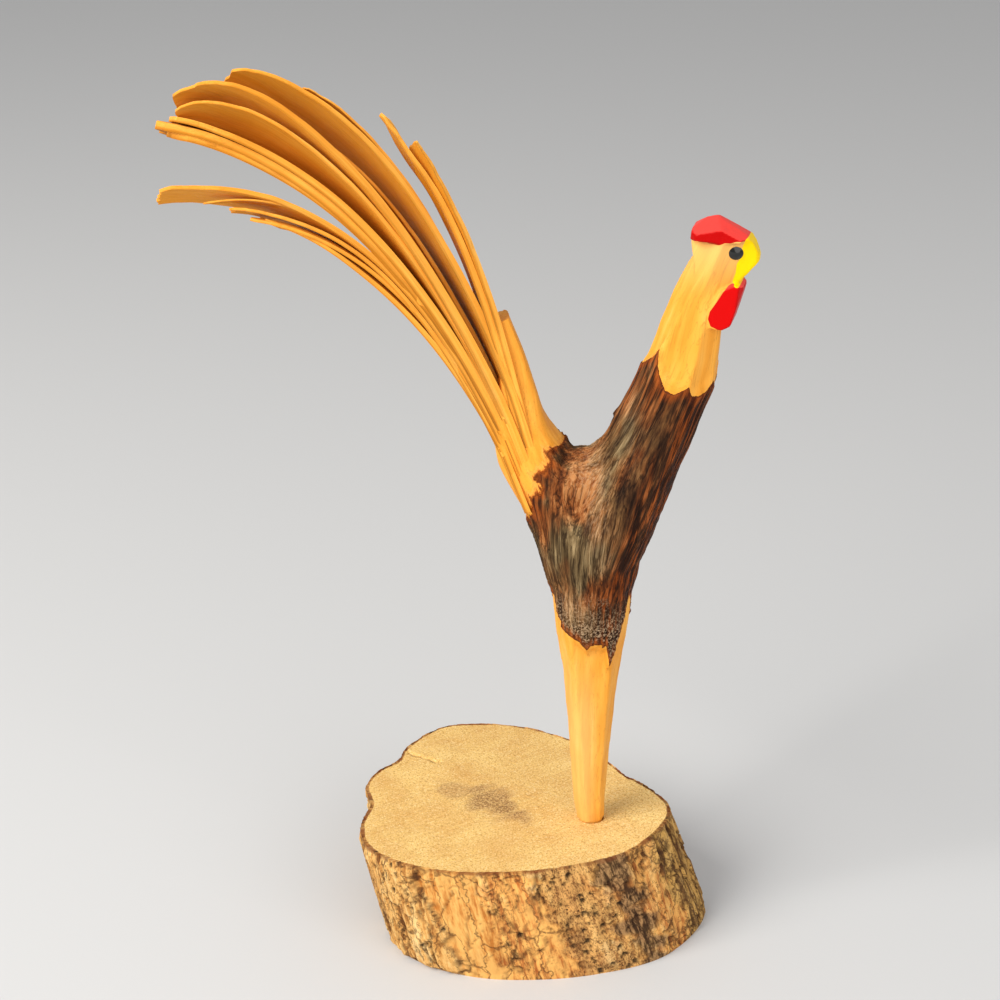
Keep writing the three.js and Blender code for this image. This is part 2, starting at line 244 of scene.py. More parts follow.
def raised(*features):
    """The relief of all features, each with its height in millimetres, below 0 its depth."""
    return sum(rise * feature for rise, feature in features)


relief = raised(
    (0.42, furrow), (0.12, fibre), (0.55, (plate_number - 0.5) * broken),
    (0.3, (flake_number - 0.5) * (1 - smooth)), (0.9, layered), (-0.45, smooth), (-0.7, crack),
    (-0.25, fine_crack), (-0.6, pit), (0.35, rib * ridged), (-0.55, groove), (-0.3, groove * ridged),
)
relief *= ease(height, 0.0, 0.05) * (0.35 + 0.65 * ease(1 - height, 0.0, 0.08))
bark_line = rim * (1 + (foot + np.where(on_bark, relief, 0))[:, None] / rim_radius)
places = np.c_[bark_line + slice_lean * height[:, None], slice_height * height]

# the underside runs in to its middle, and the top runs in to the hole
inward = (row / foot_rows)[:, None]
places[on_foot, :2] = (places[:, :2] * inward)[on_foot]
places[on_foot, 2] = 0
# the rows lie closer together near the rim, where the saw chipped it
to_hole = np.clip((row - top_start) / top_rows, 0, 1) ** rim_crowding
hole_centre = np.array([leg_x, leg_y])
spoke = rim + slice_lean - hole_centre
spoke_length = np.linalg.norm(spoke, axis=1)
reach = hole_radius + (spoke_length - hole_radius) * (1 - to_hole)
from_rim = spoke_length - reach
on_cut = on_top | on_hole
places[on_cut, :2] = (hole_centre + unit(spoke) * reach[:, None])[on_cut]
places[on_cut, 2] = slice_height
top_flat = np.where(on_top[:, None], places[:, :2], 0)


def flat_grains(flat_places):
    """Noise on flat places whose unit is the widest grain."""
    return grains(np.c_[flat_places, np.zeros(len(flat_places))], 2)


saw_wave = flat_grains(top_flat @ saw_axes.T / (2.4, 45))
hollow = flat_grains(top_flat / 14)
torn_rim = grains(np.c_[rolled[:, :2] / 2.2, from_rim], 2)
ragged_crack = top_flat + 0.35 * flat_grains(top_flat / 1.3)[:, None]
split = np.where(on_top, from_line(ragged_crack, crack_line), well_inside)
speckle = flat_grains(top_flat / 0.75)
top_relief = raised(
    (0.07, saw_wave), (0.1, hollow), (0.06, speckle), (-1.1, 1 - ease(split, 0.15, 0.9)),
    (-0.35, (1 - ease(from_rim, 0.0, 1.1)) * (0.6 + 0.5 * torn_rim)),
)
stain = np.zeros(len(places))
for centre, long, wide, strength in stains:
    outward = np.linalg.norm((top_flat - centre) @ stain_axes.T / (long, wide), axis=1)
    within = 1.25 - outward + 0.35 * hollow + 0.12 * saw_wave
    stain = np.maximum(stain, strength * ease(within, -0.05, 0.5))
places[on_top, 2] += (np.minimum(top_relief, 0.0) * ease(reach - hole_radius, 0, 0.6))[on_top]
places[on_hole, 2] -= (hole_depth * (row - hole_start) / hole_rows)[on_hole]
lay(log_slice, places)
note(
    log_slice, from_rim=np.where(on_cut, from_rim, -slice_height * (1 - height)),
    plate=0.62 * plate_number + 0.38 * flake_number,
    crack=np.clip(crack + 0.8 * fine_crack + 1.4 * groove + 0.7 * layer_edge, 0, 1),
    pit=pit, ridged=ridged, flaky=np.maximum(flaky, plated), layered=layered, smooth=smooth,
    pitted=pitted, band=band, split=split, stain=stain * on_top, furrow=furrow,
    turn_x=rolled[:, 0], turn_y=rolled[:, 1],
)
bpy.ops.object.shade_smooth_by_angle(angle=radians(50))


class Finish:
    """A value on its way through a material; arithmetic on it adds Math nodes."""

    def __init__(self, nodes, socket=None):
        self.nodes = nodes
        self.socket = socket

    def node(self, kind, settings=None, output=0, **sockets):
        """Any node: its settings come first, then its sockets' values or links."""
        made = self.nodes.new("ShaderNode" + kind)
        for name, value in (settings or {}).items():
            if name == "stops":
                while len(made.color_ramp.elements) < len(value):
                    made.color_ramp.elements.new(0.5)
                for stop, (place, code) in zip(made.color_ramp.elements, value):
                    stop.position = place
                    stop.color = colour(code)
            else:
                setattr(made, name, value)
        for name, value in sockets.items():
            key = int(name[1:]) if name[0] == "_" else name.replace("_", " ")
            plug(value, made.inputs[key])
        return Finish(self.nodes, made.outputs[output])

    def math(self, operation, first, second=0.0):
        return self.node("Math", {"operation": operation}, _0=first, _1=second)

    def __add__(self, other):
        return self.math("ADD", self, other)

    __radd__ = __add__

    def __sub__(self, other):
        return self.math("SUBTRACT", self, other)

    def __rsub__(self, other):
        return self.math("SUBTRACT", other, self)

    def __mul__(self, other):
        return self.math("MULTIPLY", self, other)

    __rmul__ = __mul__

    def step(self, low, high):
        """0 at low and 1 at high, which may be the lower of the two."""
        return self.node(
            "MapRange", {"interpolation_type": "SMOOTHSTEP"}, Value=self, From_Min=low, From_Max=high
        )

    def tint(self, low, high):
        """A colour between low and high, with this value as the share of high."""
        low, high = (colour(end) if isinstance(end, str) else end for end in (low, high))
        return self.node("Mix", {"data_type": "RGBA"}, 2, Factor=self, _6=low, _7=high)

    def ramp(self, *stops):
        return self.node("ValToRGB", {"stops": stops}, Fac=self)

    def noise(self, coordinates, scale, detail=3.0, rough=0.55, along=1, across=(1, 1)):
        """Noise of 0 to 1; scale is grains to a millimetre, fewer along Z or across it."""
        laid = self.node("Mapping", Vector=coordinates, Scale=(*across, along))
        return self.node("TexNoise", None, Vector=laid, Scale=scale, Detail=detail, Roughness=rough)

    def noted(self, names):
        """The numbers that the piece keeps for its corners, by their names."""
        return [self.node("Attribute", {"attribute_name": name}, 2) for name in names.split()]

    def place(self):
        """Where a point lies on the object, in millimetres."""
        place = self.node("TexCoord", None, 3)
        return self.node("VectorMath", {"operation": "SCALE"}, Vector=place, Scale=1 / MM)


def plug(value, socket):
    """Links a value to a socket, or sets the socket to a constant."""
    if isinstance(value, Finish):
        socket.id_data.links.new(value.socket, socket)
    else:
        socket.default_value = value


def colour(code):
    """Linear colour of a hex code."""
    parts = [int(code[i:i + 2], 16) / 255 for i in (0, 2, 4)]
    return (*[p / 12.92 if p <= 0.04045 else ((p + 0.055) / 1.055) ** 2.4 for p in parts], 1.0)


def coated(ground, *coats):
    """A ground colour under its coats, each a share from 0 to 1 and a colour."""
    for share, coat in coats:
        ground = share.tint(ground, coat)
    return ground


def finish(piece, name):
    """A new material on a piece: its shader's node, and a start for its expressions."""
    material = bpy.data.materials.new(name)
    material.use_nodes = True
    piece.data.materials.append(material)
    return material.node_tree.nodes["Principled BSDF"], Finish(material.node_tree.nodes)


def connect(shader, **values):
    for name, value in values.items():
        plug(value, shader.inputs[name.replace("_", " ")])


def sawn_log_finish():
    shader, start = finish(log_slice, "sawn_log")
    place = start.place()
    from_rim, plate, crack, layered, stain, split, furrow = start.noted(
        "from_rim plate crack layered stain split furrow"
    )
    smooth, flaky, pitted, ridged, band, pit, turn_x, turn_y = start.noted(
        "smooth flaky pitted ridged band pit turn_x turn_y"
    )
    # sawn top: rough golden speckle, faint saw marks, arcs of rings beside the stain, and painted
    # light towards +X
    speck = start.noise(place, 1.9, 4, 0.75)
    patch = start.noise(place, 0.09, 3)
    saw_turn = start.node(
        "VectorRotate", {"rotation_type": "Z_AXIS"}, Vector=place, Angle=-saw_angle
    )
    marks = start.noise(saw_turn, 1.0, 3, 0.6, 1, (0.05, 1.5))
    fine_marks = start.noise(saw_turn, 1.0, 2, 0.6, 1, (0.12, 3.6))
    to_pith = start.node("VectorMath", {"operation": "SUBTRACT"}, _0=place, _1=(*pith, slice_height))
    to_pith = start.node("Mapping", Vector=to_pith, Scale=(1, 1.15, 1))
    pith_distance = start.node("VectorMath", {"operation": "LENGTH"}, 1, _0=to_pith)
    rings = start.math("SINE", (pith_distance + 5 * start.noise(place, 0.12, 2)) * 3.9)
    rings = rings.step(0.6, 1) * pith_distance.step(15, 8) * patch.step(0.45, 0.6)
    # painted light: the top grows paler towards +X, over the rooster's shadow there
    painted_light = start.node("SeparateXYZ", Vector=place).step(-5.0, 30.0)
    wood = coated(
        (0.2 * marks + 0.3 * patch + 1.1 * speck).step(0.6, 0.92).tint("cc9144", "f8d587"),
        (painted_light * (0.25 + 0.2 * speck), "ffdc92"),
        (speck.step(0.53, 0.58) * 0.7, "b0762e"),
        (speck.step(0.46, 0.4) * 0.7, "ffe9b0"),
        (fine_marks.step(0.6, 0.7) * 0.25, "bd8a44"),
        (stain * (0.55 + 0.45 * speck.step(0.4, 0.6)), "b88f5c"),
        (stain * stain * speck.step(0.48, 0.56) * 0.8, "83603c"),
        (rings * 0.3, "a9803f"),
        (split.step(0.6, 0.1) * (0.3 + 0.6 * speck), "6b4420"),
    )
    # bark: golden tan and orange plates, brown weathering, dark cracks and pits
    rolled_place = start.node(
        "CombineXYZ", X=turn_x, Y=turn_y, Z=start.node("SeparateXYZ", None, 2, Vector=place)
    )
    streak = start.noise(rolled_place, 0.9, 5, 0.68, 0.16)
    grit = start.noise(rolled_place, 2.4, 4, 0.75, 0.6)
    blotch = start.noise(rolled_place, 0.16, 4, 0.6, 0.45)
    crackle = start.math("ABSOLUTE", start.noise(rolled_place, 0.75, 4, 0.6, 0.35) - 0.5)
    bent = start.node("TexNoise", None, 1, Vector=rolled_place, Scale=0.35, Detail=3.0)
    bent = start.node("VectorMath", {"operation": "SCALE"}, Vector=bent, Scale=4.0)
    bent = start.node("VectorMath", _0=bent, _1=rolled_place)
    bent = start.node("Mapping", Vector=bent, Scale=(1, 1, 0.3))
    flake_line = start.node("TexVoronoi", {"feature": "DISTANCE_TO_EDGE"}, Vector=bent, Scale=0.18)
    tone = 0.26 * plate + 0.62 * streak + 0.3 * blotch + 0.25 * grit + 0.04 * furrow
    rusty = streak.step(0.36, 0.6).tint("8e4a1c", "c9762c")
    golden = (streak + 0.6 * (blotch - 0.5)).step(0.3, 0.56).tint("bf742c", "e8b263")
    orange = streak.step(0.34, 0.58).tint("b8642a", "f6b864")
    weathered = (0.5 * grit + 0.5 * streak).step(0.4, 0.56).tint("845830", "e2b06a")
    grey_ribs = streak.step(0.43, 0.57).tint("2f1e0d", "c49a52")
    charred = (0.8 * streak + 0.2 * grit).step(0.45, 0.55).tint("140c06", "a27c52")
    under_edge = (from_rim + 0.8 * grit).step(-0.7, 0.1) * (0.15 + 0.85 * blotch.step(0.42, 0.58))
    bark = coated(
        ((tone - 0.7) * 1.7 + 0.46).ramp(
            (0.1, "43270f"), (0.28, "8b5826"), (0.44, "c48b47"), (0.6, "dda960"), (0.82, "f3d296")
        ),
        (blotch.step(0.52, 0.62) * 0.6 * (1 - layered), rusty),
        (smooth * 0.8, golden),
        (flaky * 0.6, orange),
        (layered * streak.step(0.42, 0.62) * 0.45, "e6bd78"),
        (pitted * 0.65, weathered),
        (pitted * grit.step(0.43, 0.38) * 0.85, "1e120a"),
        (ridged * 0.75, grey_ribs),
        (band * 0.9, charred),
        (flake_line.step(0.035, 0.01) * (1 - pitted) * grit.step(0.3, 0.5) * 0.65, "402410"),
        (crackle.step(0.02, 0.005) * (1 - smooth) * 0.65, "4a2b12"),
        (crack * (0.55 + 0.5 * grit), "331b0b"),
        (pit * 0.9, "150e08"),
        # the cut edge of the bark shows as a thin brown line round the top
        (under_edge * 0.75, "7a3f1c"),
    )
    is_wood = (from_rim - 0.9 * streak - 0.7 * blotch).step(-0.1, 0.15)
    rough_wood = 1.1 * speck + 0.3 * marks + 0.3 * fine_marks
    bumps = start.node("Mix", Factor=is_wood, _2=streak + 0.7 * grit, _3=rough_wood)
    normal = start.node("Bump", Height=bumps, Strength=0.6, Distance=0.4 * MM)
    connect(
        shader, Base_Color=is_wood.tint(bark, wood), Normal=normal,
        Roughness=is_wood * 0.06 + 0.78, Specular_IOR_Level=0.25,
    )


sawn_log_finish()
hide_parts("log_slice")
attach(log_slice, "root")


# The branch: one forked branch. The body keeps its bark; the leg, the neck and the stem of
# the tail were bared by a knife in long flats, and the leg's end is let into the slice.

# middle of each section, its radius under bark, and how far out the ridges lie at which the
# knife's flats meet
leg_to_neck = [
    (12.8, 32.3, 5, 3.75), (12.3, 40.4, 6, 4.5), (12.2, 50, 6.9, 5.15), (12.2, 59, 7.7, 5.85),
    (12.1, 68, 8.5, 6.6), (12.2, 77, 9.2, 7.5), (12.1, 86, 9.7, 8.9), (12.1, 94, 10.2, 10),
    (11.9, 100, 10.6, 10.5), (12.1, 106, 11.4, 11.3), (12.8, 113, 12.1, 12), (15.2, 120, 12.3, 12),
    (18.1, 127, 11.8, 11.7), (21.4, 134.5, 11.1, 11), (24.7, 142, 10.4, 10.4),
    (27.4, 148.5, 10, 10), (31, 157.5, 9.6, 9.7), (33.9, 165.5, 9.7, 8.9),
    (35.8, 174.5, 9.4, 7.9), (37.5, 182, 8, 6.8), (39.7, 188, 7, 6.2), (41.6, 192.5, 6, 5.5),
]
# the ridges' directions in degrees from the rooster's back round over the viewer's side, at
# the lower and upper end of the bare stretch
leg_bare, neck_bare = (32.0, 90.0), (158.0, 190.0)
leg_ridges = [(16, 20), (60, 55), (90, 66), (146, 143), (190, 192), (236, 238), (280, 284), (326, 322)]
neck_ridges = [(4, 2), (40, 76), (117, 120), (165, 163), (197, 199), (243, 240), (320, 284)]
# where the bark ends on the leg and on the neck: direction and height along the branch
leg_bark_end = [
    (0, 98), (20, 101.5), (33, 100.5), (48, 92.5), (65, 91.2), (82, 89.9), (94, 87.6), (100, 89.1),
    (117, 89.5), (119, 88), (125, 89.3), (134, 82.3), (144, 86.8), (152, 91.7), (164, 96.5),
    (172, 101.6), (190, 97), (208, 90.5), (225, 89.5), (238, 84), (250, 90), (268, 92), (280, 86.5),
    (292, 91), (308, 90), (322, 87), (336, 93), (348, 99.5), (360, 98),
]
neck_bark_end = [
    (0, 161.2), (15, 161.9), (38, 165.9), (46, 169.2), (54, 164.6), (68, 161.8), (84, 159.7),
    (100, 159.9), (112, 161.6), (118, 162.6), (124, 161.4), (132, 160.5), (144, 161), (156, 162),
    (166, 164.4), (178, 162.6), (192, 163), (199, 166.2), (214, 161.8), (230, 161.4), (242, 165.8),
    (254, 161.5), (275, 160.6), (296, 162), (308, 167.2), (318, 163), (340, 161.4), (360, 161.2),
]
bark_depth = 0.32
knife_entry = 3.4
neck_depth, neck_thins = 0.9, (106.0, 146.0)
saddle = [(-3.6, 138.6, 6.6), (1.4, 132.4, 8.2), (8, 131.2, 9), (15.6, 133.8, 8.4), (22.6, 143, 7.6)]
# middle, half width and half depth of the tail's stem and of the stub left above it
stem = [
    (12, -6.5, 98, 9, 9), (10.6, -6.5, 108, 11.3, 11), (8, -6.5, 116.5, 11.3, 11),
    (3.8, -6.5, 124.8, 10.5, 10), (-0.9, -6.5, 132.4, 9.7, 9), (-5.2, -6.7, 139.5, 8.8, 8),
    (-7.4, -7, 146, 7.4, 7), (-8.3, -7.4, 154.4, 5.6, 6), (-9.5, -7.9, 163, 4.1, 5.4),
    (-11.3, -8.6, 169.6, 3.5, 5.2), (-12.8, -9, 174.8, 3, 5),
]
stub_turn = radians(18)
tenon_radius, tenon_length = 3.2, 17.4
# head, as outlines in the plane of the neck
head_half = 5.6
face_outline = [
    (37.4, 184), (36, 192.8), (35.3, 195.8), (35.1, 198.4), (49.3, 198.6), (50.4, 197.2),
    (51.9, 194.3), (51.8, 192.6), (49.6, 190), (46.8, 187), (43, 184),
]
comb_outline = [
    (35.2, 197.5), (35.5, 200.4), (38.4, 202.4), (41.3, 203.2), (49, 199), (49.5, 198), (43, 197.4),
]
wattle_outline = [
    (46.6, 187.3), (48.7, 186.3), (46, 176.9), (43.9, 175.7), (40.4, 176.2), (39.6, 179), (43, 185.5),
]
head_above, bare_above = 174, 172
fine_grain = 0.42
crotch, crotch_reach, crotch_passes = np.array([8.0, leg_y, 138.0]), (8, 17), 36
# the torn edge of the bark on the tail's side, and the ways along and across it
seam = np.array([
    (20, 152), (12, 145), (7, 142.2), (4.3, 141.6), (2.1, 142.3), (1.2, 140.6), (1.9, 138.8),
    (0.9, 136.2), (0, 135.2), (-1.2, 135.1), (-0.8, 133.2), (0.5, 132.7), (-1.1, 130),
    (-2.7, 128.4), (-2.4, 125.8), (-3, 123.1), (-5, 121), (-12, 117.5),
])
seam_middle, seam_axes = (0.3, 133.5), np.array([(9.5, 25.0), (-25.0, 9.5)])
flap_place, flap_axes = (17.6, 151.8), np.array([(-5.0, -9.0), (-9.0, 5.0)])
knot_place, knot_radius = (12.2, -14.4, 137.6), 1.3


def limb_line(points, shares):
    """A limb's line at some shares: its places, its headings, and the outer and near sides."""
    places = smooth_curve(points, shares)
    step = 1e-4
    ahead = smooth_curve(points, np.clip(shares + step, 0, 1))
    behind = smooth_curve(points, np.clip(shares - step, 0, 1))
    along = unit(ahead - behind)
    near = unit(np.array([0, -1.0, 0]) + along * along[:, 1:2])
    return places, along, np.cross(near, along), near


def value_curve(values, shares):
    """A number that changes smoothly from station to station."""
    return smooth_curve(np.c_[np.arange(len(values)), values], shares)[:, 1]


def across_flat(angle, corners, reach):
    """Distance, in a direction, to the straight flat between two of a section's corners."""
    corners = np.hstack([corners, corners[:, :1] + 2 * pi])
    turned = corners[:, 0] + (angle - corners[:, 0]) % (2 * pi)
    distance = np.zeros(len(angle))
    for first, second in zip(corners.T[:-1], corners.T[1:]):
        here = (turned >= first) & (turned < second)
        chord = np.sin(second - first) / (np.sin(turned - first) + np.sin(second - turned))
        distance = np.where(here, reach * chord, distance)
    return distance


def whittled_reach(share, angle):
    """The branch's radius from leg to neck, and how far inside the bare wood a place lies."""
    _, z, bark, ridge = np.array(leg_to_neck, float).T
    height, bark, ridge = (value_curve(values, share) for values in (z, bark, ridge))
    degrees = np.degrees(angle) % 360
    ripple = 0.06 * np.sin(height / 2.7) * np.sin(3 * angle) + 0.04 * np.sin(height / 1.2 + 5 * angle)
    reach, bare = bark, np.full(len(share), -well_inside)
    for ridges, (low, high), bark_end, sense in (
        (leg_ridges, leg_bare, leg_bark_end, 1), (neck_ridges, neck_bare, neck_bark_end, -1),
    ):
        climb = np.clip((height - low) / (high - low), 0, 1)
        corners = np.radians([first + (last - first) * climb for first, last in ridges]).T
        flat = across_flat(angle, corners, ridge) + ripple
        inside_wood = (np.interp(degrees, *np.transpose(bark_end)) - height) * sense
        bare = np.maximum(bare, inside_wood)
        scoop = np.maximum(bark - bark_depth - flat, 0) * ease(inside_wood, -0.2, knife_entry)
        reach = reach - bark_depth * ease(inside_wood, -0.3, 0.3) - scoop
    slim = 1 - (1 - neck_depth) * ease(height, *neck_thins) * np.abs(np.sin(angle))
    return reach * slim, bare


def stem_reach(share, angle):
    """The tail stem's radius; it is round at the fork and squarer where it is whittled."""
    height, wide, deep = (value_curve(values, share) for values in np.array(stem).T[2:])
    power = 2 + 1.3 * ease(height, 126, 142) + 2.2 * ease(height, 142, 158)
    angle = angle - stub_turn * ease(height, 138, 150)
    flattened = (np.abs(np.cos(angle)) / wide) ** power + (np.abs(np.sin(angle)) / deep) ** power
    return flattened ** (-1 / power)


def limb(name, points, sides, rows, reach_at):
    """A tube laid along a limb's line; reach_at gives its radius at shares and angles."""
    piece, turn, row = tube(name, sides, rows)
    share, angle = row / rows, 2 * pi * turn
    places, _, out, near = limb_line(points, share)
    reach = reach_at(share, angle)
    places = places + out * (reach * np.cos(angle))[:, None] + near * (reach * np.sin(angle))[:, None]
    lay(piece, places)
    return piece


def round_limb(name, points, radius, sides=48, rows=40):
    return limb(name, points, sides, rows, lambda share, angle: value_curve(radius, share))


def thicken(move):
    """Extrudes the flat piece in hand along a move, and turns its faces outwards."""
    bpy.ops.object.mode_set(mode="EDIT")
    bpy.ops.mesh.select_all(action="SELECT")
    bpy.ops.mesh.extrude_region_move(TRANSFORM_OT_translate={"value": move})
    bpy.ops.mesh.select_all(action="SELECT")
    bpy.ops.mesh.normals_make_consistent(inside=False)
    bpy.ops.object.mode_set(mode="OBJECT")


def block(name, outline, half):
    """An outline sawn across the branch, half to each side of the rooster's middle."""
    bpy.ops.mesh.primitive_circle_add(vertices=len(outline), radius=1, fill_type="NGON")
    piece = named(name)
    lay(piece, [(x, leg_y + half, z) for x, z in outline])
    thicken((0, -2 * half * MM, 0))
    return piece


def pick(pieces):
    """Selects these pieces alone, with the first one in hand."""
    bpy.ops.object.select_all(action="DESELECT")
    for piece in pieces:
        piece.select_set(True)
    bpy.context.view_layer.objects.active = pieces[0]


def whittle(piece, point, outward):
    """A stroke of the knife on either side takes off what lies outside a plane."""
    pick([piece])
    for hand in (1, -1):
        bpy.ops.object.mode_set(mode="EDIT")
        bpy.ops.mesh.select_all(action="SELECT")
        bpy.ops.mesh.bisect(
            plane_co=np.array((point[0], leg_y - hand * point[1], point[2])) * MM,
            plane_no=(outward[0], -hand * outward[1], outward[2]),
            use_fill=True, clear_outer=True,
        )
        bpy.ops.object.mode_set(mode="OBJECT")


def join(pieces, name):
    pick(pieces)
    bpy.ops.object.join()
    return named(name)


def reshape(piece, kind, **settings):
    """Applies a modifier of some kind to the piece in hand."""
    modifier = piece.modifiers.new(kind, kind)
    for name, value in settings.items():
        setattr(modifier, name, value)
    bpy.ops.object.modifier_apply(modifier=modifier.name)


main_points = [(x, leg_y, z) for x, z, _, _ in leg_to_neck]
stem_points = [station[:3] for station in stem]
tenon_points = [(leg_x, leg_y, slice_height + rise) for rise in (-tenon_length, -1, 1)]
limbs = [
    limb("leg_to_neck", main_points, 180, 420, lambda share, angle: whittled_reach(share, angle)[0]),
    round_limb("saddle", [(x, leg_y, z) for x, z, _ in saddle], [r for _, _, r in saddle]),
    limb("tail_stem", stem_points, 96, 160, stem_reach),
    round_limb("tenon", tenon_points, [tenon_radius, tenon_radius, 0.8 * tenon_radius], rows=16),
]
face = block("face", face_outline, head_half)
whittle(face, (41, head_half - 0.2, 191.6), (-0.4, 0.91, 0.14))
whittle(face, (42.5, head_half - 0.35, 192.6), (0.34, 0.93, -0.12))
whittle(face, (51.7, 1.5, 193.5), (0.87, 0.5, 0))
comb = block("comb", comb_outline, head_half + 0.1)
whittle(comb, (42.0, 0.4, 202.95), (0.412, 0.305, 0.858))
whittle(comb, (41.3, 0.4, 203.2), (-0.2, 0.47, 0.86))
whittle(comb, (36.6, 5.6, 199), (-0.8, 0.6, 0))
wattle = block("wattle", wattle_outline, head_half - 0.2)
whittle(wattle, (47.6, 4.9, 184), (0.92, 0.38, -0.1))
branch = join(limbs + [face, comb, wattle], "branch_whittled")
# all become one skin with faces of an even size
reshape(branch, "REMESH", mode="VOXEL", voxel_size=fine_grain * MM)

# the bark flows over the crotch of the fork without a seam
places = places_of(branch)
soft = branch.vertex_groups.new(name="crotch")
weights = np.round(1 - ease(np.linalg.norm(places - crotch, axis=1), *crotch_reach), 1)
for level in np.unique(weights)[1:]:
    soft.add(np.flatnonzero(weights == level).tolist(), float(level), "REPLACE")
reshape(branch, "SMOOTH", vertex_group=soft.name, factor=0.5, iterations=crotch_passes)


def beside(places, points, count=260):
    """Where places lie on a limb: share, length along it, and distances out and near."""
    shares = np.linspace(0, 1, count)
    line, along, out, near = limb_line(points, shares)
    squares = (line**2).sum(1) - 2 * places @ line.T
    nearest = squares.argmin(1)
    offset = places - line[nearest]
    travelled = np.r_[0, np.cumsum(np.linalg.norm(np.diff(line, axis=0), axis=1))]
    onward = (offset * along[nearest]).sum(1)
    length = travelled[nearest] + onward
    share = np.interp(length, travelled, shares)
    return share, length, (offset * out[nearest]).sum(1), (offset * near[nearest]).sum(1)


places = places_of(branch)
normals = np.empty(len(places) * 3)
branch.data.vertex_normals.foreach_get("vector", normals)
normals = normals.reshape(-1, 3)
share, length, out, near = beside(places, main_points)
angle = np.arctan2(near, out)
radius = np.hypot(out, near)
branch_radius, bare = whittled_reach(share, angle)
stem_share, stem_length, stem_out, stem_near = beside(places, stem_points)
stem_radius = stem_reach(stem_share, np.arctan2(stem_near, stem_out))
stem_gap = np.hypot(stem_out, stem_near) - stem_radius
to_stem = ease((radius - branch_radius) - stem_gap, -3.0, 3.0) * ease(places[:, 2], 104, 122)

# how far inside bare wood a place lies, in millimetres: above 0 the bark is gone. On the
# tail's side the bark was torn away along a ragged seam.
bare = np.where(places[:, 2] > bare_above, well_inside, bare)
flat_places = places[:, (0, 2)]
along_seam, across_seam = ((flat_places - seam_middle) @ unit(seam_axes).T).T
seam_line = (seam - seam_middle) @ unit(seam_axes).T
torn = grains(np.c_[stem_out / 2.4, stem_near / 2.4, stem_length / 9], 3)
line_across = np.interp(along_seam, *seam_line[seam_line[:, 0].argsort()].T)
splinters = grains(np.c_[stem_out / 0.9, stem_near / 0.9, stem_length / 6], 2)
line_across += np.where(near < -6, 1.2, 0.25) * torn + 0.7 * splinters * ease(near, 0, 4)
tear = (across_seam - line_across) * ease(along_seam, -26, -16)
tear -= well_inside * ease(-along_seam, 16, 26)
tear = np.where((to_stem > 0.02) & (places[:, 2] > 112), tear, -well_inside)
fringe = ease(tear, -3, -1) * ease(bare, -1, -3)
bare = np.maximum(bare, tear)
is_bark = 1 - ease(bare, -0.1, 0.3)

# the bark's grain rises straight from the leg and then fans out over trunk and crotch into
# the neck; the bare stem's grain runs along the stem
fan = np.interp(length, [60, 72, 82, 96, 108, 122], [1, 1, 1.25, 1.75, 2.2, 2.5])
upright = np.interp(length, [74, 81, 88.4, 96, 104, 112], [0, 0.7, 2.8, 4.4, 5.4, 6])
fanned = out - upright * ease(out, -11, 1)
fanned = np.where(fanned > 0, fanned / fan, fanned / (1 + 0.15 * (fan - 1)))
on_stem = to_stem * ease(bare, -0.4, 0.1)
grain = np.c_[fanned, near, length]
grain += (np.c_[stem_out, stem_near, stem_length] - grain) * on_stem[:, None]


def along_grain(widths, octaves):
    return grains(grain / widths, octaves)


streak = along_grain((1.3, 1.3, 14), 3)
ridge = along_grain((0.8, 0.8, 9), 2)
patch = along_grain((5, 5, 13), 3)
hollow = along_grain((4, 4, 22), 2)
crust_edge, crust_number = plates(places / (0.95, 0.95, 1.2))
crust = ease(places[:, 2] + 2 * patch, 103, 93) * is_bark
bark_relief = 0.17 * np.clip(streak, -1.2, 1.2) + 0.12 * ridge + 0.1 * hollow
bark_relief += crust * (0.35 * (crust_number - 0.4) - 0.15 * (1 - ease(crust_edge, 0.05, 0.25)))
wood_relief = 0.03 * along_grain((1.0, 1.0, 22), 2)
torn_step = 0.5 * ease(tear, -0.2, 0.5)
# a sliver of bark stands up from the neck's back, a small knot sits below the crotch
flap_along, flap_across = ((flat_places - flap_place) @ unit(flap_axes).T).T
flap = np.exp(-(near / 0.8) ** 2) * ease(flap_along, -3.2, 1.8) * (1 - ease(flap_along, 1.8, 2.3))
flap *= ease(flap_across, -2, -0.5) * (1 - ease(flap_across, 2, 4))
knot = np.exp(-(np.linalg.norm(places - knot_place, axis=1) / knot_radius) ** 2)
lift = bark_relief * is_bark + wood_relief * (1 - is_bark) - torn_step + 0.55 * flap + 0.5 * knot
places += normals * lift[:, None]
lay(branch, places)
# the bark is darker on the neck's front and on the trunk's right, redder beside the tear
facing = np.degrees(angle) % 360
shade = ease(facing, 95, 145) * (1 - ease(facing, 230, 300))
shade = np.maximum(shade, 0.6 * ease(places[:, 2] - 0.5 * near, 146, 160)) * (1 - 0.8 * to_stem)
lower_leg = (1 - ease(places[:, 2], 60, 92)) * (1 - 0.9 * ease(places[:, 0], 12, 16))


def spots(*fields):
    """Soft fields, each with its place, its half width and height, and its strength."""
    return sum(
        strength * np.exp(-(((flat_places - (x, z)) / (wide, high)) ** 2).sum(1))
        for x, z, wide, high, strength in fields
    )


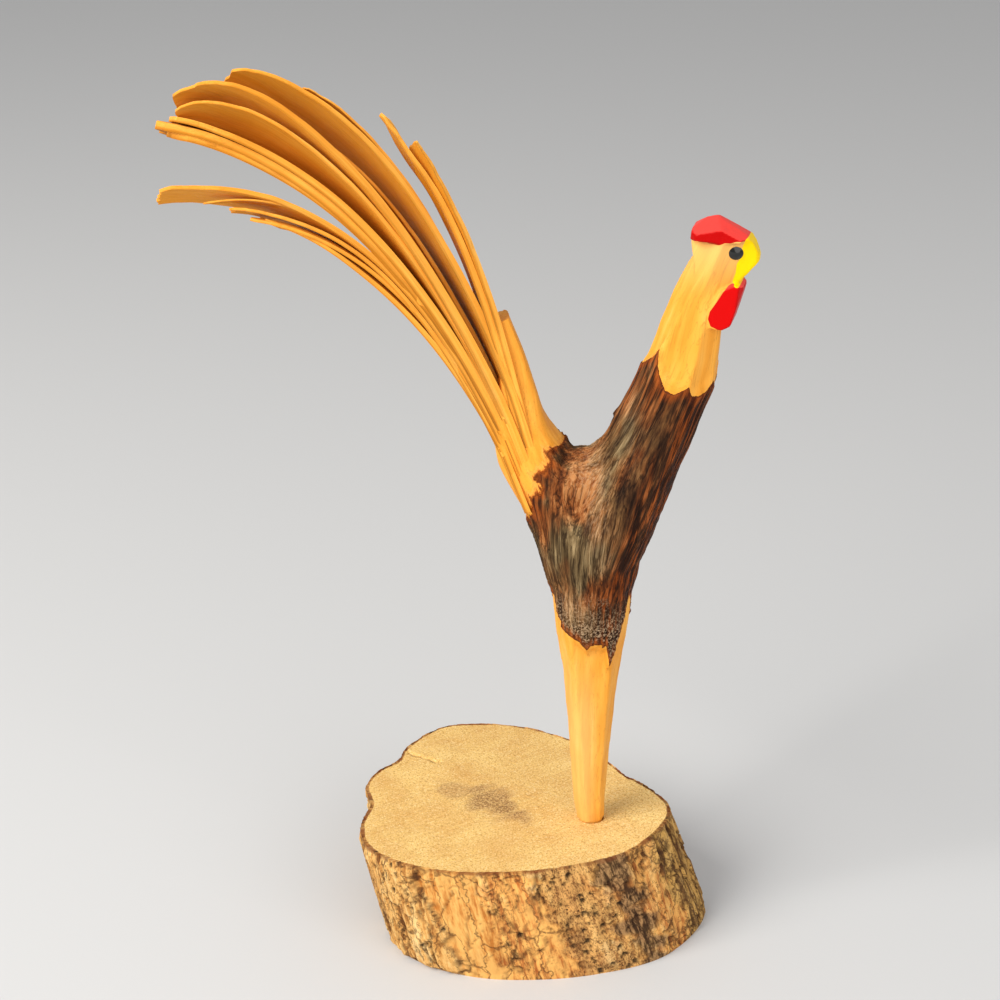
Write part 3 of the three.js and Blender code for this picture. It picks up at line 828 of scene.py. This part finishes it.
note(
    branch, bare=bare, fringe=fringe, streak=0.6 * streak + 0.6 * hollow, patch=patch,
    shade=shade, crust=crust, knot=np.maximum(knot, 0.6 * flap),
    red=spots(
        (4, 131, 5, 8, 1), (11, 130, 4, 9, 0.7), (20.5, 139, 2.2, 12, 0.3),
        (27, 150, 1.6, 9, 0.3), (17, 103, 5, 6, 0.8), (2, 121, 3, 9, 0.5),
    ),
    olive=spots((6, 118, 6, 8, 1), (13, 108, 5, 9, 0.8), (21, 150, 3, 9, 0.7), (7, 139, 3, 3, 0.5)),
    pale=spots(
        (12.5, 137, 4.5, 7, 1), (15.5, 124, 3, 9, 0.7), (22.5, 150, 3, 10, 0.4), (9, 100, 5, 5, 0.5),
    ),
    creamy=0.85 * lower_leg + 0.9 * ease(places[:, 2], 182, 197),
    grain_x=grain[:, 0], grain_y=grain[:, 1], grain_z=grain[:, 2],
)

# paint: how far inside each painted field a place lies, in millimetres
painted_fields = {
    "comb": [
        (34, 197.3), (35.7, 197.4), (37.2, 197.8), (38.9, 197.25), (40, 197), (42.5, 197),
        (43.9, 197.7), (45.3, 197.7), (46.6, 198.2), (48.6, 198.2), (50.2, 199.2), (44, 205),
        (34, 203),
    ],
    "beak": [
        (48.7, 198.5), (47.9, 196.6), (47.8, 194.3), (46.7, 192.3), (46.5, 190), (45.8, 187.7),
        (47, 186.7), (53, 188), (53, 198), (50, 199.5),
    ],
    "wattle": [
        (45.7, 187.3), (46.9, 187.35), (50, 187), (50, 176), (45, 175), (43.1, 175.9),
        (41.2, 176.7), (40.5, 178.5), (40.9, 180.4), (42.6, 183.1), (44, 185.6), (45, 186.8),
    ],
}
eye_place, eye_radius = (46.5, 195.0), 1.7


def inside(places, field):
    """How far flat places lie inside a closed outline, below 0 outside it."""
    corners = np.array(field, float)
    following = np.roll(corners, -1, axis=0)
    distance = from_line(places, np.vstack([corners, corners[:1]]))
    odd = np.zeros(len(places), bool)
    for (x0, z0), (x1, z1) in zip(corners, following):
        crosses = (z0 > places[:, 1]) != (z1 > places[:, 1])
        level = np.where(z1 == z0, 1e-9, z1 - z0)
        odd ^= crosses & (places[:, 0] < x0 + (places[:, 1] - z0) * (x1 - x0) / level)
    return np.where(odd, distance, -distance)


on_head = places[:, 2] > head_above
for name, field in painted_fields.items():
    depth = np.full(len(places), -well_inside)
    depth[on_head] = inside(flat_places[on_head], field)
    note(branch, **{name: depth})
from_eye = np.linalg.norm(flat_places - eye_place, axis=1)
# a painted highlight: the head's upward faces are noted for lighter red paint
note(branch, eye=eye_radius - from_eye, sheen=ease(normals[:, 2], 0.5, 0.75) * on_head)
# the eye is a drop of paint that dried a little proud
places += normals * (0.7 * on_head * np.clip(1 - (from_eye / eye_radius) ** 2, 0, 1))[:, None]
lay(branch, places)
bpy.ops.object.shade_smooth()


def whittled_wood(start):
    """Bare wood that the knife left along its grain: colour, bump, and places by grain."""
    x, y, z = start.noted("grain_x grain_y grain_z")
    grain = start.node("CombineXYZ", X=x, Y=y, Z=z)
    tree_rings = start.noise(grain, 0.55, 3, 0.5, 0.035)
    pores = start.noise(grain, 4.5, 3, 0.6, 0.05)
    warmth = start.noise(start.place(), 0.06, 3)
    lines = start.math("ABSOLUTE", start.noise(grain, 1.5, 2, 0.5, 0.012) - 0.5)
    wood = coated(
        (0.6 * tree_rings + 0.4 * warmth).ramp(
            (0.34, "e0922e"), (0.48, "eea23a"), (0.6, "f3ae48"), (0.72, "f7bd62")
        ),
        (pores.step(0.58, 0.75) * 0.35, "cc8431"),
        (lines.step(0.02, 0.004) * 0.45, "b8762c"),
    )
    return wood, tree_rings * 0.5 + pores * 0.5, grain


def branch_finish():
    shader, start = finish(branch, "whittled_branch")
    wood, wood_bumps, grain = whittled_wood(start)
    place = start.place()
    bare, fringe, streak, patch, shade, crust, knot, red = start.noted(
        "bare fringe streak patch shade crust knot red"
    )
    olive, pale, creamy, comb, beak, wattle, eye, sheen = start.noted(
        "olive pale creamy comb beak wattle eye sheen"
    )
    thread = start.noise(grain, 1.2, 5, 0.66, 0.045)
    hair = start.noise(grain, 3.6, 4, 0.7, 0.06)
    grit = start.noise(place, 1.7, 4, 0.75)
    furrows = start.math("ABSOLUTE", start.noise(grain, 0.8, 3, 0.6, 0.035) - 0.5)
    furrows = furrows.step(0.035, 0.008) * (1 - 0.6 * pale)
    tone = 0.47 + 0.14 * streak + 1.1 * (thread - 0.5) + 0.6 * (hair - 0.5) - 0.1 * shade + 0.2 * pale
    mossy = tone.ramp((0.14, "18120a"), (0.34, "3c301d"), (0.54, "625338"), (0.8, "93825f"))
    rust = tone.ramp((0.14, "240e05"), (0.34, "58290e"), (0.54, "85471e"), (0.8, "b67843"))
    gloss = (thread - 0.06 * shade).step(0.38, 0.62).tint("2a1005", "a64e14")
    edge = thread.step(0.35, 0.65).tint("4d1d09", "a3521a")
    mossy_share = 1.1 * olive + 0.5 * patch + 1.2 * (thread - 0.5)
    rusty_share = 1.1 * red - 0.5 * patch + 1.8 * (thread - 0.5)
    bark = coated(
        tone.ramp(
            (0.14, "190d06"), (0.32, "402816"), (0.5, "664627"), (0.66, "8a653f"), (0.84, "b9946a")
        ),
        (mossy_share.step(0.1, 1.1) * 0.8, mossy),
        (rusty_share.step(0.05, 1.1) * 0.8, rust),
        (shade * 0.75, gloss),
        (pale * hair.step(0.45, 0.6) * 0.35, "ab947a"),
        (furrows * (0.5 + 0.4 * hair), "190c05"),
        (crust * grit.step(0.51, 0.57) * 0.85, "b79c7c"),
        (crust * grit.step(0.48, 0.4) * 0.85, "1a0c05"),
        ((bare + 3 * (thread - 0.5)).step(-3.2, -0.4) * 0.85, edge),
        (knot.step(0.35, 0.8) * 0.8, "1d0f08"),
    )
    # between bark and wood the inner bark shows, widest where the bark was torn off
    ragged = bare + (0.8 + 2.4 * fringe) * (thread - 0.5) + (0.6 + 0.9 * fringe) * (hair - 0.5)
    inner = (ragged + 1.6 * (hair - 0.5)).step(-0.2, 1.1).tint("8e360d", "f0a446")
    inner = fringe.step(0.1, 0.6).tint("5b2a10", inner)
    past_inner = ragged - 1.8 * fringe
    is_bark = past_inner.step(0.25, 0.1)
    red_paint = coated(
        start.noise(place, 0.3, 2).tint("ac0000", "b80000"),
        (wattle.step(-0.5, 0.5) * 0.6, "d40000"),
        # painted highlight: lighter red on the upward faces of the comb and wattle
        (sheen * 0.8, "f24a44"),
    )
    reddened = start.math("MAXIMUM", comb.step(-0.05, 0.05), wattle.step(-0.05, 0.05))
    beak, eye = beak.step(-0.06, 0.06), eye.step(-0.08, 0.08)
    painted = start.math("MAXIMUM", reddened, start.math("MAXIMUM", beak, eye))
    base = coated(
        ragged.step(-0.16, 0.0).tint(bark, inner),
        (past_inner.step(0.12, 0.3), (creamy * 0.4).tint(wood, "efcf8c")),
        (reddened, red_paint),
        (beak, start.noise(place, 0.4, 2).tint("ffd000", "ffdc00")),
        (eye, "030303"),
    )
    bumps = is_bark * (thread + hair * 0.8 + grit * 0.3 - furrows * 0.4)
    bumps = bumps + (1 - is_bark) * (1 - painted) * wood_bumps * 0.25
    normal = start.node("Bump", Height=bumps, Strength=0.6, Distance=0.35 * MM)
    connect(
        shader, Base_Color=base, Normal=normal, Coat_Weight=eye, Coat_Roughness=0.2,
        Roughness=0.5 + is_bark * (0.14 - 0.12 * shade) - painted * 0.1 - eye * 0.3,
        Specular_IOR_Level=0.1,
    )


branch_finish()
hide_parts("rooster")
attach(branch, "root")


# The tail: long shavings that the knife raised along the left fork and left joined to it.
# They curl away from the stem by themselves, thin, springy and ragged at their tips.

tail_x, tail_turn, near_face = -7.0, radians(18), 6.0
away = np.array([-cos(tail_turn), -sin(tail_turn), 0])
side = np.array([sin(tail_turn), -cos(tail_turn), 0])
up = np.array([0, 0, 1.0])
# reach and height of each shaving's root, elbow and tip, its width, its thickness at both
# ends, its roll at the tip in degrees, how far back its near edge lies, its tip's skew, how
# far its tip curls down and how much painted shade darkens its underside
shavings = [
    ([(0, 153), (13.9, 208.2), (26.2, 219)], 6, (1.9, 0.8), 50, 0, 0, -1.6, 1),
    ([(1.5, 151), (13.4, 206.4), (32.9, 223.2)], 6, (2.2, 1), 20, 0, 0, -3, 1),
    ([(-1.3, 147.4), (27, 231.2), (67.9, 239.2)], 14, (2.4, 0.9), 50, 0, 4, 0.6, 1),
    ([(-0.3, 146.5), (24.6, 221), (52, 233.2)], 5, (1.6, 0.4), 48, 0.6, 0, 0, 0.8),
    ([(1.5, 146.5), (26, 208.6), (56, 225.6)], 9, (1.4, 0.5), 50, 5, 0, 0, 1),
    ([(-0.6, 142), (40.8, 239.2), (83.3, 238)], 16, (2.8, 0.9), 52, 0, 0, 4.2, 0.7),
    ([(0.7, 141), (39, 231.4), (83.1, 233.6)], 15, (1.6, 0.8), 50, 0, 0, 3.6, 0.85),
    ([(1.1, 139.5), (32.8, 215), (83.6, 228.4)], 14, (2.8, 1.3), 26, 0, 0, 0.8, 1.3),
    ([(1, 137.8), (33.4, 214), (86.4, 227.2)], 12, (2.2, 1.9), 18, 0, 0, 1.2, 1.3),
    ([(0.8, 137), (34.5, 213.8), (84.3, 224.9)], 11, (2.3, 1.8), 12, 0, 0, 1, 1.3),
    ([(0.6, 136.4), (33.5, 211.4), (80.6, 222.4)], 4, (1, 1), 10, 0, 2, 0, 1),
    ([(1.2, 134.6), (35.1, 218), (87.1, 209.8)], 9, (1.8, 1), 44, 0, 3, -0.4, 0.7),
    ([(1.6, 134), (33.8, 212.6), (76.6, 206.6)], 3, (0.7, 0.4), 24, 0, 0, 0, 1),
    ([(1.9, 132.6), (32.4, 207.4), (70.8, 203.4)], 7, (1.5, 0.7), 24, 0, 0, -1.6, 1),
    ([(-1.4, 127), (24.6, 195.2), (65.3, 202.6)], 6, (1.5, 0.7), 14, 0, 0, 0.4, 1),
    ([(-2.6, 125), (22.9, 186.8), (62.6, 203.1)], 7, (1.9, 0.8), 12, 0, 0, 1.4, 1),
]
roll_power = 0.65
taper_from, taper_share = 0.8, 0.35
# the first part of a shaving runs straight back into the stem, flush with its flat side, and
# each one that was raised later stands a little prouder
root_share, root_length, proud, prouder = 0.1, 14.0, 0.12, 0.025
far_edge_inside, stem_foot, fray = 0.5, 124, 1.6


def in_tail(reach, height, sideways):
    return np.array([tail_x, leg_y, 0]) + away * reach + up * height + side * sideways


def shaving(number, path, wide, thick, roll, back, skew, curl, brown):
    """One shaving: a thin board that is bent along its path, rolled, and frayed at its tip."""
    bpy.ops.mesh.primitive_grid_add(x_subdivisions=100, y_subdivisions=10, size=1)
    piece = named(f"shaving_{number}")
    thicken((0, 0, 1))
    corners = places_of(piece) * MM
    run, across_share, through = corners[:, 0] + 0.5, corners[:, 1] + 0.5, corners[:, 2]
    share = (run - root_share) / (1 - root_share)
    a, b, c = (in_tail(*point, near_face - back) for point in path)
    at = np.maximum(share, 0)[:, None]
    tangent = unit((1 - at) * (b - a) + at * (c - b))
    place = (1 - at) ** 2 * a + 2 * at * (1 - at) * b + at**2 * c
    into_stem = np.clip(path[0][1] - stem_foot, 2, root_length)
    place += tangent * np.minimum(share, 0)[:, None] * into_stem / root_share
    convex = unit(np.cross(tangent, side))
    convex *= np.sign(convex[:, 2:3])
    share = at[:, 0]
    turned = np.radians(roll) * at**roll_power
    across = side * np.cos(turned) + convex * np.sin(turned)
    face = convex * np.cos(turned) - side * np.sin(turned)
    tipness = ease(share, taper_from, 1)
    width = wide * (1 - taper_share * tipness)
    thickness = thick[0] + (thick[1] - thick[0]) * share
    seed = np.full(len(share), 11.7 * number)
    wave = grains(np.c_[share * 2.2, across_share * 0.6, seed], 2)
    teeth = grains(np.c_[across_share * width / 0.9, seed, share], 3)
    edge = grains(np.c_[share * 9, seed + 3, across_share], 3)
    cup = 0.06 * width * (2 * across_share - 1) ** 2 * share
    rounded = (2 * across_share - 1) ** 4 * 0.16 * width
    place += tangent * (skew * tipness * (1 - across_share))[:, None]
    ragged = fray * cos(radians(roll)) ** 2
    place += tangent * ((ragged * teeth - rounded) * ease(share, 0.9, 1))[:, None]
    place -= across * (width * (1 - across_share) + 0.25 * edge * share)[:, None]
    place -= face * (thickness * (1 - through) + cup - 0.35 * wave * share)[:, None]
    place[:, 2] -= curl * np.clip((share - 0.75) / 0.25, 0, 1) ** 2
    # over the stem the shaving comes forward until its near edge lies flush, and its far edge
    # ends just inside the stem
    stem_at, _, sideways, forward = beside(place, stem_points)
    stem_wide, stem_deep = (value_curve(values, stem_at) for values in np.array(stem).T[3:])
    on_stem = 1 - (np.abs(sideways) / stem_wide) ** 3
    surface = stem_deep * np.maximum(on_stem, 0) ** (1 / 3)
    near_root = 1 - ease(share, 0.15, 0.34)
    stands = proud + prouder * (len(shavings) - number)
    flush = surface + stands - width * (1 - across_share) - back
    root_turn = (1 - ease(run, 0, 0.17)) * (3.2 * across_share - 1.6)
    joined, inside = (ease(on_stem, 0, reach) * near_root for reach in (0.5, 0.25))
    moved = forward + np.maximum(flush - forward, 0) * joined - root_turn
    moved += np.maximum(far_edge_inside - surface - moved, 0) * inside
    place[:, 1] -= moved - forward
    lay(piece, place)
    # the finish darkens the underside with painted shade, as strongly as the table's last number says
    note(
        piece, grain_x=across_share * width, grain_y=through * thickness + seed,
        grain_z=run * 120, under=1 - through, brown=np.full(len(share), brown),
        rooted=1 - ease(share, 0.05, 0.5),
    )
    return piece


tail = join([shaving(number, *values) for number, values in enumerate(shavings)], "tail_shavings")
bpy.ops.object.shade_smooth_by_angle(angle=radians(40))


def shaving_finish():
    shader, start = finish(tail, "curled_shavings")
    wood, bumps, grain = whittled_wood(start)
    under, brown, rooted = start.noted("under brown rooted")
    hair = start.noise(grain, 2.6, 3, 0.6, 0.03)
    hollow, edge = under.step(0.5, 0.95), under.step(0.6, 0.95)
    # painted shade: the hollow undersides are darker and browner, and each lower edge ends in a
    # dark line of painted shadow
    wood = coated(
        wood,
        (hair.step(0.42, 0.68) * 0.5, "df9127"),
        (hollow * brown * (0.5 + 0.3 * hair), "b87006"),
        (hollow * brown.step(1, 2.2), "8a4f0a"),
        # painted shadow: dark lines along each lower edge, strongest near the roots
        (edge * brown * hair.step(0.42, 0.6) * rooted.step(0.0, 0.7) * 0.6, "8a5e1e"),
        (edge * rooted * 0.2, "8a4d16"),
    )
    normal = start.node("Bump", Height=bumps + hair, Strength=0.5, Distance=0.3 * MM)
    connect(
        shader, Base_Color=wood, Normal=normal, Roughness=0.5 + 0.1 * bumps,
        Specular_IOR_Level=0.15,
    )


shaving_finish()
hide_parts("rooster")
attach(tail, "root")


# Studio: a plain pale floor, a broad soft light high on the left and the photograph's view.

view_point = Vector((0, 0, 0.11))
camera_place, camera_tilt, camera_turn = (0.1046, -0.4779, 0.3191), radians(68.1), radians(14)

bpy.ops.mesh.primitive_plane_add(size=12)
floor = named("floor")
floor_shader, _ = finish(floor, "pale_floor")
connect(floor_shader, Base_Color=(0.62, 0.64, 0.67, 1), Roughness=0.9)


def soft_light(name, place, size, power, tint):
    """A square lamp that looks at the middle of the rooster."""
    bpy.ops.object.light_add(type="AREA", location=place)
    light = named(name)
    light.data.size = size
    light.data.energy = power
    light.data.color = tint
    light.rotation_euler = (view_point - Vector(place)).to_track_quat("-Z", "Y").to_euler()


soft_light("window", (-0.75, -0.9, 0.95), 0.9, 24, (1.0, 0.95, 0.87))
soft_light("room", (0.9, -0.9, 0.6), 1.2, 8, (1.0, 0.96, 0.92))
world = bpy.data.worlds.new("pale_room")
bpy.context.scene.world = world
world.use_nodes = True
connect(world.node_tree.nodes["Background"], Color=(1.0, 0.97, 0.93, 1), Strength=0.5)
bpy.context.scene.view_settings.view_transform = "Standard"

bpy.ops.object.camera_add(location=camera_place, rotation=(camera_tilt, 0, camera_turn))
camera = bpy.context.object
camera.data.lens = 72
bpy.context.scene.camera = camera
